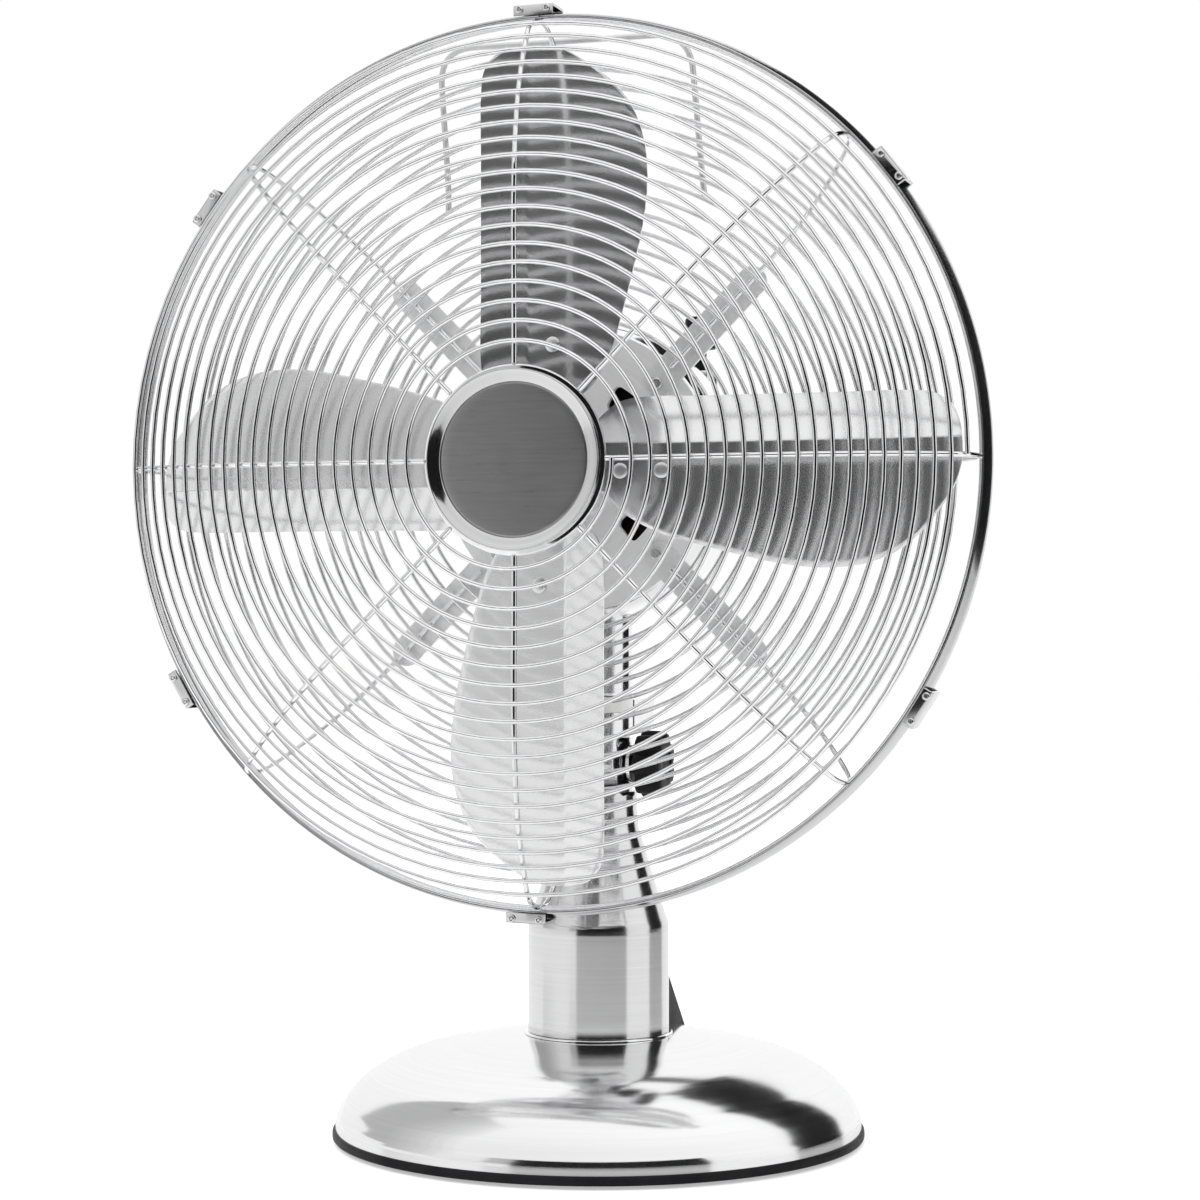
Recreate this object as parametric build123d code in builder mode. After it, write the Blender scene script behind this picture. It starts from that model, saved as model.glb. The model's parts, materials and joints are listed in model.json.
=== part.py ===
from build123d import *
import os
from math import radians, sin, cos

os.makedirs("parts", exist_ok=True)

# ---- driving dimensions (mm); +Z up, the fan faces -Y, origin at the centre of the foot plane ----
HUB_Z = 296.5            # fan axis above the table
BASE_R = 118.5           # trim ring radius
RING_Z = (1.5, 5.5)      # trim ring bottom and top
DOME_TOP = 46.5          # flat seat for the column
COL_R = 31.5             # column cylinder
NECK_R = 17.3            # column top
TILT_Z = 166.9           # tilt hinge axis height
EAR_R = 12.0             # hinge ears
TONGUE_HALF = 11.8       # half thickness of the hinge tongue
TONGUE_R = 15.1          # the tongue is turned to the width of the neck
COLLAR_Z = (180.0, 189.7)
SWIVEL_Z = (189.7, 196.9)
TUBE_R = 15.1            # upper neck tube
PIN_R = 5.0              # swivel pin
SHAFT_R = 4.0            # motor shaft
ROTOR_Y = -72.0          # blade plane
TIP_R = 178.0            # blade tip radius
SHEET = 1.2              # blade sheet
RIM_R = 190.6            # rim band outside
RIM_Y = (-82.0, -72.0)   # rim band front and rear edges
RING_WIRE = 1.5          # outer ring wire radius
RING_R = 187.6           # outer ring wire circle
WIRE = 1.15              # radial wire radius
SPIRAL_WIRE = 1.0        # spiral wire radius
SPIRAL_R0 = 42.5         # spiral start
SPIRAL_PITCH = 8.41      # first turn pitch, falls by 0.134 each turn
SPIRAL_TURNS = 20.0
FLANGE_R = 39.5          # guard centre plate
BADGE_R = 37.4           # badge ring outside
PLATE_R = 32.0           # badge plate
GLAND_Z = 17.0           # cord gland height
GEAR = (25.0, 79.0)      # oscillation gear axis
LINK_TURN = 20           # the crank and link sit this far round from straight behind the neck
BALLAST = 9.0            # thickness of the weight in the base
FOOT_RING = 1.0          # height of the bright ring under the column
ARM_Y = (-32.2, -30.6)   # support arm strip
ARM_R0 = 47.2            # arm inner end radius
ARM_R = 119.0            # arm tip radius
STEP_R = 47.0            # raised middle of the motor front plate
SCREW_R = 52.2           # motor screw circle
MOTOR_R = 65.5           # motor housing, widest
CLIP_ANGLES = (90.5, 38, -32, -91.5, -149.8, 143.2)
CLIP_W = 17.4
LIP = 0.8                # rolled front and rear lips of the rim


def front_y(r):
    """depth of the front guard spiral wire centre at radius r"""
    u = (r - 42.5) / 152.5
    return -114.2 - 8.4 * u ** 2 + 35.2 * u ** 4 + 2.5 * u ** 8


def rear_y(r):
    """depth of the rear guard spiral wire centre at radius r"""
    if r <= 110:
        return -35.6
    return -35.6 - 38.4 * ((r - 110) / 77.6) ** 2.6


def spiral_r(t):
    return SPIRAL_R0 + SPIRAL_PITCH * t - 0.067 * t * t


def on_axis(y):
    """plane facing the viewer, centred on the fan axis at depth y, local x = +X, local y = +Z"""
    return Plane(origin=(0, y, HUB_Z), x_dir=(1, 0, 0), z_dir=(0, -1, 0))


def section():
    """half section plane of the head: local x = radius upward, local y = +Y depth"""
    return Plane(origin=(0, 0, HUB_Z), x_dir=(0, 0, 1), z_dir=(-1, 0, 0))


HEAD_AXIS = Axis((0, 0, HUB_Z), (0, 1, 0))


def save(builder, name):
    builder.part.label = name
    export_step(builder.part, f"parts/{name}.step")


# ---- base ----
dome = [(117.2, 5.5), (117.0, 9.2), (116.6, 10.8), (115.8, 12.6), (112.5, 19.0), (105, 27.0), (95, 33.4),
        (80, 39.2), (60, 43.2), (45, 45.4), (33, DOME_TOP)]
with BuildPart() as base_shell:
    with BuildSketch(Plane.XZ):
        with BuildLine():
            Spline(*dome)
            Line((33, DOME_TOP), (6, DOME_TOP))
            Line((6, DOME_TOP), (6, DOME_TOP - 1.5))
            Line((6, DOME_TOP - 1.5), (32.5, DOME_TOP - 1.5))
            Spline((32.5, DOME_TOP - 1.5), (44.8, 43.9), (59.6, 41.7), (79.4, 37.8), (94.2, 32.1),
                   (103.9, 26.0), (111.1, 18.4), (114.4, 12.0), (115.5, 9.0), (115.7, 5.5))
            Line((115.7, 5.5), (117.2, 5.5))
        make_face()
    revolve(axis=Axis.Z)
    with Locations(Location((0, 110, GLAND_Z), (90, 0, 0))):
        Cylinder(4.5, 20, mode=Mode.SUBTRACT)
save(base_shell, "base_shell")

with BuildPart() as base_trim_ring:
    with BuildSketch(Plane.XZ):
        with BuildLine():
            Polyline((112.5, RING_Z[0]), (117.9, RING_Z[0]), (BASE_R, RING_Z[0] + 0.6),
                     (BASE_R, RING_Z[1] - 0.6), (117.9, RING_Z[1]), (114.5, RING_Z[1]),
                     (114.5, 3.6), (112.5, 3.6), close=True)
        make_face()
    revolve(axis=Axis.Z)
save(base_trim_ring, "base_trim_ring")

with BuildPart() as base_plate:
    with BuildSketch(Plane.XY.offset(3.6)):
        Circle(114)
        with PolarLocations(80, 4, start_angle=45):
            Circle(1.8, mode=Mode.SUBTRACT)
        Circle(7, mode=Mode.SUBTRACT)
        with PolarLocations(52, 10):
            SlotOverall(16, 3.2, rotation=0, mode=Mode.SUBTRACT)
    extrude(amount=1.2)
save(base_plate, "base_plate")

with BuildPart() as rubber_feet:
    with BuildSketch(Plane.XY):
        with PolarLocations(100, 5, start_angle=90):
            Circle(8)
    extrude(amount=3.6)
    chamfer(rubber_feet.edges().group_by(Axis.Z)[0], 0.6)
save(rubber_feet, "rubber_feet")

with BuildPart() as base_plate_screws:
    with BuildSketch(Plane.XY.offset(2.0)):
        with PolarLocations(80, 4, start_angle=45):
            Circle(3.4)
    extrude(amount=1.6)
    with BuildSketch(Plane.XY.offset(3.6)):
        with PolarLocations(80, 4, start_angle=45):
            Circle(1.75)
    extrude(amount=8)
    with BuildSketch(Plane.XY.offset(2.0)):
        with PolarLocations(80, 4, start_angle=45):
            Rectangle(4, 0.8)
            Rectangle(0.8, 4)
    extrude(amount=0.8, mode=Mode.SUBTRACT)
save(base_plate_screws, "base_plate_screws")

with BuildPart() as ballast_weight:
    with BuildSketch(Plane.XY.offset(4.8)):
        Circle(98)
        Circle(40, mode=Mode.SUBTRACT)
        with PolarLocations(80, 4, start_angle=45):
            Circle(1.9, mode=Mode.SUBTRACT)
    extrude(amount=BALLAST)
    chamfer(ballast_weight.edges().group_by(Axis.Z)[-1].sort_by(SortBy.RADIUS)[-1], 4)
save(ballast_weight, "ballast_weight")

# ---- column ----
with BuildPart() as column_foot_ring:
    with BuildSketch(Plane.XZ):
        with BuildLine():
            Polyline((28.5, DOME_TOP), (33.2, DOME_TOP), (33.2, DOME_TOP + 0.6),
                     (32.8, DOME_TOP + FOOT_RING), (28.5, DOME_TOP + FOOT_RING), close=True)
        make_face()
    revolve(axis=Axis.Z)
save(column_foot_ring, "column_foot_ring")

COL_BOTTOM = DOME_TOP + FOOT_RING
with BuildPart() as column_shell:
    with BuildSketch(Plane.XZ):
        with BuildLine():
            Line((30.1, COL_BOTTOM), (COL_R, COL_BOTTOM))
            Line((COL_R, COL_BOTTOM), (COL_R, 93))
            Spline((COL_R, 93), (31.15, 96.6), (29.9, 100.2), (25.2, 114.6), (20.6, 130.2), (18.1, 139.0),
                   (NECK_R, 147), tangents=[(0, 1), (0, 1)])
            Line((NECK_R, 147), (NECK_R, 154.8))
            Line((NECK_R, 154.8), (15.9, 154.8))
            Line((15.9, 154.8), (15.9, 147))
            Spline((15.9, 147), (16.7, 138.9), (19.2, 129.7), (23.9, 114.1), (28.5, 99.7), (30.1, 90),
                   tangents=[(0, -1), (0, -1)])
            Line((30.1, 90), (30.1, COL_BOTTOM))
        make_face()
    revolve(axis=Axis.Z)
    with Locations(Location((0, 30, 62), (90, 0, 0))):
        Cylinder(5.0, 12, mode=Mode.SUBTRACT)
save(column_shell, "column_shell")

with BuildPart() as hinge_fork:
    with BuildSketch(Plane.XY.offset(141)):
        Circle(15.85)
    extrude(amount=13.8)
    with BuildSketch(Plane.XY.offset(154.8)):
        Circle(15.2)
    extrude(amount=TILT_Z + EAR_R - 154.8)
    with BuildSketch(Plane.YZ.offset(-20)):
        with Locations((0, 141)):
            Rectangle(60, 2 * (154.8 - 141), align=(Align.CENTER, Align.CENTER))
        with Locations((0, 160)):
            Rectangle(2 * EAR_R, 2 * (TILT_Z - 160), align=(Align.CENTER, Align.CENTER))
        with Locations((0, TILT_Z)):
            Circle(EAR_R)
    extrude(amount=40, mode=Mode.INTERSECT)
    with Locations((0, 0, TILT_Z)):
        Box(2 * TONGUE_HALF + 0.2, 40, 2 * EAR_R + 0.4, mode=Mode.SUBTRACT)
    with Locations(Location((0, 0, TILT_Z), (0, 90, 0))):
        Cylinder(4.05, 60, mode=Mode.SUBTRACT)
    with Locations((0, 0, 141)):
        Cylinder(5.0, 24, mode=Mode.SUBTRACT)
save(hinge_fork, "hinge_fork")

with BuildPart() as column_stud:
    with Locations((0, 0, 14)):
        Cylinder(5.0, 139, align=(Align.CENTER, Align.CENTER, Align.MIN))
save(column_stud, "column_stud")

with BuildPart() as stud_nut:
    with BuildSketch(Plane.XY.offset(33.5)):
        RegularPolygon(10, 6)
        Circle(5.0, mode=Mode.SUBTRACT)
    extrude(amount=8)
    with BuildSketch(Plane.XY.offset(41.5)):
        Circle(16)
        Circle(5.0, mode=Mode.SUBTRACT)
    extrude(amount=3.5)
save(stud_nut, "stud_nut")


def dome_solid():
    """the whole volume under the dome's outer surface"""
    with BuildPart(mode=Mode.PRIVATE) as solid:
        with BuildSketch(Plane.XZ):
            with BuildLine():
                Spline(*dome)
                Line((33, DOME_TOP), (20, DOME_TOP))
                Line((20, DOME_TOP), (20, 0))
                Line((20, 0), (117.2, 0))
                Line((117.2, 0), (117.2, 5.5))
            make_face()
        revolve(axis=Axis.Z)
    return solid.part


# ---- speed switch console at the back of the column foot ----
SLOPE_DIR = (0, sin(radians(45)), cos(radians(45)))
SPEED_AXIS = (0, 50.5, 65.5)
CONSOLE_W = 38.4
with BuildPart() as switch_console:
    with BuildSketch(Plane.YZ.offset(-CONSOLE_W / 2)):
        with BuildLine():
            Polyline((24, 38), (78, 38), (31, 85), (24, 85), close=True)
        make_face()
    extrude(amount=CONSOLE_W)
    chamfer(switch_console.faces().sort_by(Axis((0, 0, 0), SLOPE_DIR))[-1].edges()
            .filter_by(Axis.X, reverse=True), 2.0)
    with Locations((0, 0, 60)):
        Cylinder(COL_R, 80, mode=Mode.SUBTRACT)
    add(dome_solid(), mode=Mode.SUBTRACT)
    with Locations(Location(SPEED_AXIS, (-45, 0, 0))):
        Cylinder(4.05, 30, mode=Mode.SUBTRACT)
    with Locations((0, 0, DOME_TOP)):
        Cylinder(33.5, 4.2, mode=Mode.SUBTRACT)
save(switch_console, "switch_console")

slope_plane = Plane(origin=SPEED_AXIS, x_dir=(1, 0, 0), z_dir=SLOPE_DIR)
with BuildPart() as speed_knob:
    with BuildSketch(slope_plane.offset(0.4)):
        Circle(12)
    extrude(amount=3.5)
    with BuildSketch(slope_plane.offset(3.9)):
        Circle(10.2)
    extrude(amount=7.5, taper=4)
    with BuildSketch(slope_plane.offset(9.4)):
        with PolarLocations(11.2, 16):
            Circle(1.5)
    extrude(amount=2.5, mode=Mode.SUBTRACT)
    with BuildSketch(slope_plane.offset(-7)):
        Circle(4.0)
    extrude(amount=7.6)
save(speed_knob, "speed_knob")

with BuildPart() as console_screws:
    with BuildSketch(slope_plane):
        with GridLocations(28, 29, 2, 2):
            Circle(2.1)
    extrude(amount=1.1)
save(console_screws, "console_screws")

with BuildPart() as cord_gland:
    with BuildSketch(Plane(origin=(0, 118.4, GLAND_Z), x_dir=(1, 0, 0), z_dir=(0, -1, 0))):
        Circle(6.4)
    extrude(amount=10)
    chamfer(cord_gland.edges().group_by(Axis.Y)[-1], 0.9)
    add(dome_solid(), mode=Mode.SUBTRACT)
    with BuildSketch(Plane(origin=(0, 118.0, GLAND_Z), x_dir=(1, 0, 0), z_dir=(0, -1, 0))):
        Circle(4.45)
    extrude(amount=12)
    with BuildSketch(Plane(origin=(0, 120, GLAND_Z), x_dir=(1, 0, 0), z_dir=(0, -1, 0))):
        Circle(3.0)
    extrude(amount=16, mode=Mode.SUBTRACT)
save(cord_gland, "cord_gland")

with BuildPart() as run_capacitor:
    with Locations((0, 0, 60)):
        Box(24, 15, 26)
    with Locations((13.5, 0, 60)):
        Cylinder(2, 10)
    with Locations((0, 0, 60)):
        Cylinder(5.2, 60, mode=Mode.SUBTRACT)
save(run_capacitor, "run_capacitor")

# ---- tilt clamp knob with its bolt ----
KNOB_R = 15.0
KNOB_W = 12.2
with BuildPart() as tilt_knob:
    with BuildSketch(Plane.YZ.offset(18.2)):
        with Locations((0, TILT_Z)):
            Circle(10.5)
    extrude(amount=1.6)
    with BuildSketch(Plane.YZ.offset(19.8)):
        with Locations((0, TILT_Z)):
            Circle(KNOB_R)
    extrude(amount=KNOB_W)
    with BuildSketch(Plane.YZ.offset(19.8)):
        with Locations((0, TILT_Z)):
            with PolarLocations(KNOB_R + 4.2, 7):
                Circle(6.2)
    extrude(amount=KNOB_W, mode=Mode.SUBTRACT)
    fillet(tilt_knob.edges().group_by(Axis.X)[-1], 1.2)
    with BuildSketch(Plane.YZ.offset(19.0 + KNOB_W)):
        with Locations((0, TILT_Z)):
            Circle(7.0)
    extrude(amount=0.8, mode=Mode.SUBTRACT)
    with BuildSketch(Plane.YZ.offset(-17.2)):
        with Locations((0, TILT_Z)):
            Circle(4.0)
    extrude(amount=35.6)
    with BuildSketch(Plane.YZ.offset(-19.4)):
        with Locations((0, TILT_Z)):
            Circle(6.6)
    extrude(amount=2.2)
save(tilt_knob, "tilt_knob")

with BuildPart() as tilt_washer:
    with BuildSketch(Plane.YZ.offset(15.3)):
        with Locations((0, TILT_Z)):
            Circle(8.6)
            Circle(4.15, mode=Mode.SUBTRACT)
    extrude(amount=1.5)
    with BuildSketch(Plane.YZ.offset(-17.0)):
        with Locations((0, TILT_Z)):
            Circle(7.6)
            Circle(4.15, mode=Mode.SUBTRACT)
    extrude(amount=1.6)
save(tilt_washer, "tilt_washers")

# ---- tilting neck ----
with BuildPart() as tilt_tongue:
    with BuildSketch(Plane.YZ.offset(-TONGUE_HALF)):
        with Locations((0, TILT_Z)):
            Circle(EAR_R - 0.3)
            Rectangle(2 * TONGUE_R, COLLAR_Z[0] - TILT_Z, align=(Align.CENTER, Align.MIN))
    extrude(amount=2 * TONGUE_HALF)
    with Locations((0, 0, TILT_Z)):
        Cylinder(TONGUE_R, 60, mode=Mode.INTERSECT)
    with BuildSketch(Plane.XY.offset(COLLAR_Z[0])):
        Circle(TONGUE_R)
    extrude(amount=COLLAR_Z[1] - COLLAR_Z[0])
    with Locations(Location((0, 0, TILT_Z), (0, 90, 0))):
        Cylinder(4.05, 60, mode=Mode.SUBTRACT)
    with Locations((0, 0, 181.5)):
        Cylinder(PIN_R + 0.05, 12, align=(Align.CENTER, Align.CENTER, Align.MIN), mode=Mode.SUBTRACT)
save(tilt_tongue, "tilt_tongue")

with BuildPart() as swivel_ring:
    with BuildSketch(Plane.XY.offset(SWIVEL_Z[0])):
        Circle(15.4)
        Circle(PIN_R + 0.05, mode=Mode.SUBTRACT)
    extrude(amount=SWIVEL_Z[1] - SWIVEL_Z[0])
    chamfer(swivel_ring.edges().filter_by(GeomType.CIRCLE).sort_by(SortBy.RADIUS)[-2:], 0.5)
save(swivel_ring, "swivel_ring")

def round_column(x, y):
    """a point of the oscillation linkage, carried round the column axis to its own side"""
    c = cos(radians(LINK_TURN))
    s = sin(radians(LINK_TURN))
    return (x * c - y * s, x * s + y * c)


CRANK = round_column(0, 80)
CRANK_PIN = round_column(7.8, 81.6)
BRACKET_PIN = round_column(8, 40)

with BuildPart() as link_bracket:
    with Locations((0, 34.5, 187.6)):
        Box(22, 37, 14.6)
    fillet(link_bracket.edges().filter_by(Axis.Z), 3.5)
    with Locations((0, 0, 187.6)):
        Cylinder(15.45, 40, mode=Mode.SUBTRACT)
    with Locations((*BRACKET_PIN, 194.9)):
        Cylinder(3.4, 2.0, align=(Align.CENTER, Align.CENTER, Align.MIN))
save(link_bracket, "link_bracket")

# ---- swinging head: neck tube and swivel pin ----
def bell(wall):
    """half section of the motor housing, drawn inward by the wall thickness"""
    with BuildSketch(section()) as half:
        with BuildLine():
            Line((0, -28.6), (61.8 - wall, -28.6))
            Spline((61.8 - wall, -28.6), (MOTOR_R - wall, -10), (62.5 - wall, 20), (56.8 - wall, 50),
                   (50 - wall, 76), (44 - wall, 89.5 - 0.4 * wall), (33 - 0.7 * wall, 101 - 0.8 * wall),
                   (17 - 0.3 * wall, 108.5 - wall), (0, 110.5 - wall), tangents=[(0.45, 0.9), (-1, 0)])
            Line((0, 110.5 - wall), (0, -28.6))
        make_face()
    return half.sketch


HOUSING_WALL = 1.6
with BuildPart() as housing_cavity:
    add(bell(HOUSING_WALL))
    revolve(axis=HEAD_AXIS)

with BuildPart() as neck_tube:
    with BuildSketch(Plane.XY.offset(197.3)):
        Circle(TUBE_R)
        Circle(PIN_R, mode=Mode.SUBTRACT)
    extrude(amount=50)
    add(bell(0))
    revolve(axis=HEAD_AXIS, mode=Mode.SUBTRACT)
save(neck_tube, "neck_tube")

with BuildPart() as swivel_pin:
    with Locations((0, 0, 182)):
        Cylinder(PIN_R, 52, align=(Align.CENTER, Align.CENTER, Align.MIN))
save(swivel_pin, "swivel_pin")

with BuildPart() as motor_housing:
    add(bell(0))
    revolve(axis=HEAD_AXIS)
    with Locations((GEAR[0], GEAR[1], HUB_Z + 22)):
        Cylinder(8.5, 30, align=(Align.CENTER, Align.CENTER, Align.MIN))
    add(housing_cavity.part, mode=Mode.SUBTRACT)
    with Locations((GEAR[0], GEAR[1], HUB_Z + 25)):
        Cylinder(3.05, 40, align=(Align.CENTER, Align.CENTER, Align.MIN), mode=Mode.SUBTRACT)
    with Locations((*CRANK, HUB_Z - 60)):
        Cylinder(4.05, 30, align=(Align.CENTER, Align.CENTER, Align.MIN), mode=Mode.SUBTRACT)
    with Locations((0, 0, HUB_Z - 70)):
        Cylinder(PIN_R + 0.3, 20, align=(Align.CENTER, Align.CENTER, Align.MIN), mode=Mode.SUBTRACT)
save(motor_housing, "motor_housing")


def kidney(r0, r1, a0, a1):
    """ring sector face between two radii and two angles, with rounded corners"""
    m = radians((a0 + a1) / 2)
    lo = radians(a0)
    hi = radians(a1)
    with BuildSketch() as sector:
        with BuildLine():
            Line((r0 * cos(lo), r0 * sin(lo)), (r1 * cos(lo), r1 * sin(lo)))
            ThreePointArc((r1 * cos(lo), r1 * sin(lo)), (r1 * cos(m), r1 * sin(m)),
                          (r1 * cos(hi), r1 * sin(hi)))
            Line((r1 * cos(hi), r1 * sin(hi)), (r0 * cos(hi), r0 * sin(hi)))
            ThreePointArc((r0 * cos(hi), r0 * sin(hi)), (r0 * cos(m), r0 * sin(m)),
                          (r0 * cos(lo), r0 * sin(lo)))
        make_face()
        fillet(sector.vertices(), 2.5)
    return sector.sketch


with BuildPart() as motor_front_plate:
    with BuildSketch(on_axis(-28.6)):
        Circle(61.6)
        Circle(11, mode=Mode.SUBTRACT)
        with PolarLocations(SCREW_R, 4, start_angle=45):
            Circle(2.05, mode=Mode.SUBTRACT)
    extrude(amount=2.0)
    with BuildSketch(on_axis(-30.6)):
        Circle(STEP_R)
        Circle(11, mode=Mode.SUBTRACT)
    extrude(amount=0.8)
    with BuildSketch(on_axis(-28.6)):
        for k in range(4):
            add(kidney(30, 41.2, 38.5 + 90 * k, 63.5 + 90 * k))
    extrude(amount=2.8, mode=Mode.SUBTRACT)
    with BuildSketch(on_axis(-28.6)):
        Circle(20)
        Circle(11, mode=Mode.SUBTRACT)
    extrude(amount=5.0)
save(motor_front_plate, "motor_front_plate")

with BuildPart() as stator_core:
    with BuildSketch(on_axis(20)):
        Circle(50)
        Circle(29.6, mode=Mode.SUBTRACT)
        with PolarLocations(38, 8, start_angle=22.5):
            RectangleRounded(12, 7, 2, mode=Mode.SUBTRACT)
        with PolarLocations(SCREW_R, 4, start_angle=45):
            Circle(4, mode=Mode.SUBTRACT)
    extrude(amount=26)
save(stator_core, "stator_core")

with BuildPart() as windings:
    for y0 in (20.2, -18.2):
        with BuildSketch(on_axis(y0 + (12 if y0 > 0 else 0))):
            Circle(45)
            Circle(31, mode=Mode.SUBTRACT)
        extrude(amount=(11.8 if y0 > 0 else -11.8))
    with BuildSketch(on_axis(20.8)):
        with PolarLocations(38, 8, start_angle=22.5):
            RectangleRounded(11.6, 6.6, 1.8)
    extrude(amount=27.6)
save(windings, "windings")

with BuildPart() as motor_frame:
    with BuildSketch(on_axis(34)):
        Circle(54)
        Circle(11, mode=Mode.SUBTRACT)
        with PolarLocations(30, 6):
            Circle(6, mode=Mode.SUBTRACT)
    extrude(amount=1.6)
    with BuildSketch(on_axis(34)):
        Circle(52)
        Circle(50.2, mode=Mode.SUBTRACT)
    extrude(amount=46)
save(motor_frame, "motor_frame")

with BuildPart() as bearings:
    for y0 in (-24.0, 38.0):
        with BuildSketch(on_axis(y0)):
            Circle(10.9)
            Circle(SHAFT_R + 0.05, mode=Mode.SUBTRACT)
        extrude(amount=8)
save(bearings, "bearings")

with BuildPart() as motor_screws:
    with BuildSketch(on_axis(ARM_Y[0])):
        with PolarLocations(SCREW_R, 4, start_angle=45):
            Circle(2.7)
    extrude(amount=1.7)
    fillet(motor_screws.edges().group_by(Axis.Y)[0], 0.9)
    with BuildSketch(on_axis(ARM_Y[0])):
        with PolarLocations(SCREW_R, 4, start_angle=45):
            Circle(2.0)
    extrude(amount=-10)
    with BuildSketch(on_axis(ARM_Y[0] - 1.7)):
        with PolarLocations(SCREW_R, 4, start_angle=45):
            Rectangle(2.8, 0.6)
            Rectangle(0.6, 2.8)
    extrude(amount=-0.8, mode=Mode.SUBTRACT)
save(motor_screws, "motor_screws")

with BuildPart() as support_arms:
    with BuildSketch(on_axis(ARM_Y[1])):
        with PolarLocations((ARM_R0 + ARM_R) / 2, 4, start_angle=45):
            SlotOverall(ARM_R - ARM_R0, 13.2)
        with PolarLocations(SCREW_R, 4, start_angle=45):
            Circle(2.05, mode=Mode.SUBTRACT)
    extrude(amount=ARM_Y[1] - ARM_Y[0])
save(support_arms, "support_arms")

# ---- rotor ----
with BuildPart() as motor_shaft:
    with BuildSketch(on_axis(94)):
        Circle(SHAFT_R)
    extrude(amount=180)
save(motor_shaft, "motor_shaft")

with BuildPart() as rotor_core:
    with BuildSketch(on_axis(19)):
        Circle(29.0)
        Circle(SHAFT_R, mode=Mode.SUBTRACT)
    extrude(amount=24)
    with BuildSketch(on_axis(22)):
        Circle(27)
        Circle(20, mode=Mode.SUBTRACT)
    extrude(amount=30)
save(rotor_core, "rotor_core")

with BuildPart() as worm:
    with BuildSketch(on_axis(87)):
        Circle(7.3)
        Circle(SHAFT_R, mode=Mode.SUBTRACT)
    extrude(amount=16)
    for k in range(5):
        with BuildSketch(on_axis(86 - 3.0 * k)):
            Circle(8)
            Circle(6.1, mode=Mode.SUBTRACT)
        extrude(amount=1.4, mode=Mode.SUBTRACT)
save(worm, "worm")

SP_Y = ROTOR_Y + SHEET / 2      # spider front face
with BuildPart() as hub_spider:
    with BuildSketch(on_axis(SP_Y + 1.8)):
        Circle(23)
        with PolarLocations(38, 4):
            with Locations((0, -3)):
                SlotOverall(46, 14)
        Circle(SHAFT_R, mode=Mode.SUBTRACT)
        with PolarLocations(33, 4):
            with Locations((0, -3)):
                Circle(1.6, mode=Mode.SUBTRACT)
        with PolarLocations(51, 4):
            with Locations((0, -3)):
                Circle(1.6, mode=Mode.SUBTRACT)
    extrude(amount=1.8)
    with BuildSketch(on_axis(SP_Y + 14)):
        Circle(11)
        Circle(SHAFT_R, mode=Mode.SUBTRACT)
    extrude(amount=12.2)
    with BuildSketch(on_axis(SP_Y)):
        Circle(11)
        Circle(SHAFT_R, mode=Mode.SUBTRACT)
    extrude(amount=7)
save(hub_spider, "hub_spider")

FOLD_U = -8.5
BULGE = ROTOR_Y + 2.6
EDGE = ROTOR_Y - 5.1
with BuildPart() as blade:
    with BuildSketch(Plane.XY.offset(HUB_Z + 12)):
        with BuildLine():
            Line((-30, EDGE - 0.95 - 0.6), (FOLD_U, ROTOR_Y - 0.6))
            Line((FOLD_U, ROTOR_Y - 0.6), (14, ROTOR_Y - 0.6))
            Spline((14, ROTOR_Y - 0.6), (30, ROTOR_Y + 0.2), (47, BULGE - 0.2),
                   tangents=[(1, 0), (1, 0.2)])
            Line((47, BULGE - 0.2), (47, BULGE + 1.0))
            Spline((47, BULGE + 1.0), (30, ROTOR_Y + 1.4), (14, ROTOR_Y + 0.6),
                   tangents=[(-1, -0.2), (-1, 0)])
            Line((14, ROTOR_Y + 0.6), (FOLD_U, ROTOR_Y + 0.6))
            Line((FOLD_U, ROTOR_Y + 0.6), (-30, EDGE - 0.95 + 0.6))
            Line((-30, EDGE - 0.95 + 0.6), (-30, EDGE - 0.95 - 0.6))
        make_face()
    extrude(amount=172)
    with BuildSketch(on_axis(-50)):
        with BuildLine():
            Line((-27.4, 44), (-27.4, 157))
            Spline((-27.4, 157), (-26.2, 167.5), (-21.5, 174.4), (-13, 177.4), (0, TIP_R), (11, 174.6),
                   (21, 168.0), (31, 159.6), (38.6, 148.5), (43, 135), (44.2, 120), (42.6, 103),
                   (38.6, 84), (34, 66), (28.3, 47.5), (20.5, 33.7), (12.5, 25.5),
                   tangents=[(0, 1), (-0.75, -0.65)])
            Line((12.5, 25.5), (10, 15))
            Line((10, 15), (-10, 15))
            Line((-10, 15), (-21, 27))
            Spline((-21, 27), (-25.6, 34), (-27.4, 44), tangents=[(-0.68, 0.73), (0, 1)])
        make_face()
    extrude(amount=60, mode=Mode.INTERSECT)
    with BuildSketch(on_axis(-60)):
        with Locations((3, 33), (3, 51)):
            Circle(1.6)
    extrude(amount=30, mode=Mode.SUBTRACT)
for k in range(4):
    turned = blade.part.rotate(HEAD_AXIS, 90 * k)
    turned.label = f"blade_{k + 1}"
    export_step(turned, f"parts/blade_{k + 1}.step")

with BuildPart() as blade_rivets:
    for r in (33, 51):
        with BuildSketch(on_axis(ROTOR_Y - SHEET / 2)):
            with PolarLocations(r, 4):
                with Locations((0, -3)):
                    Circle(3.3)
        extrude(amount=1.1)
        with BuildSketch(on_axis(SP_Y + 1.8)):
            with PolarLocations(r, 4):
                with Locations((0, -3)):
                    Circle(1.6)
        extrude(amount=1.8 + SHEET)
        with BuildSketch(on_axis(SP_Y + 2.7)):
            with PolarLocations(r, 4):
                with Locations((0, -3)):
                    Circle(2.6)
        extrude(amount=0.9)
save(blade_rivets, "blade_rivets")

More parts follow.
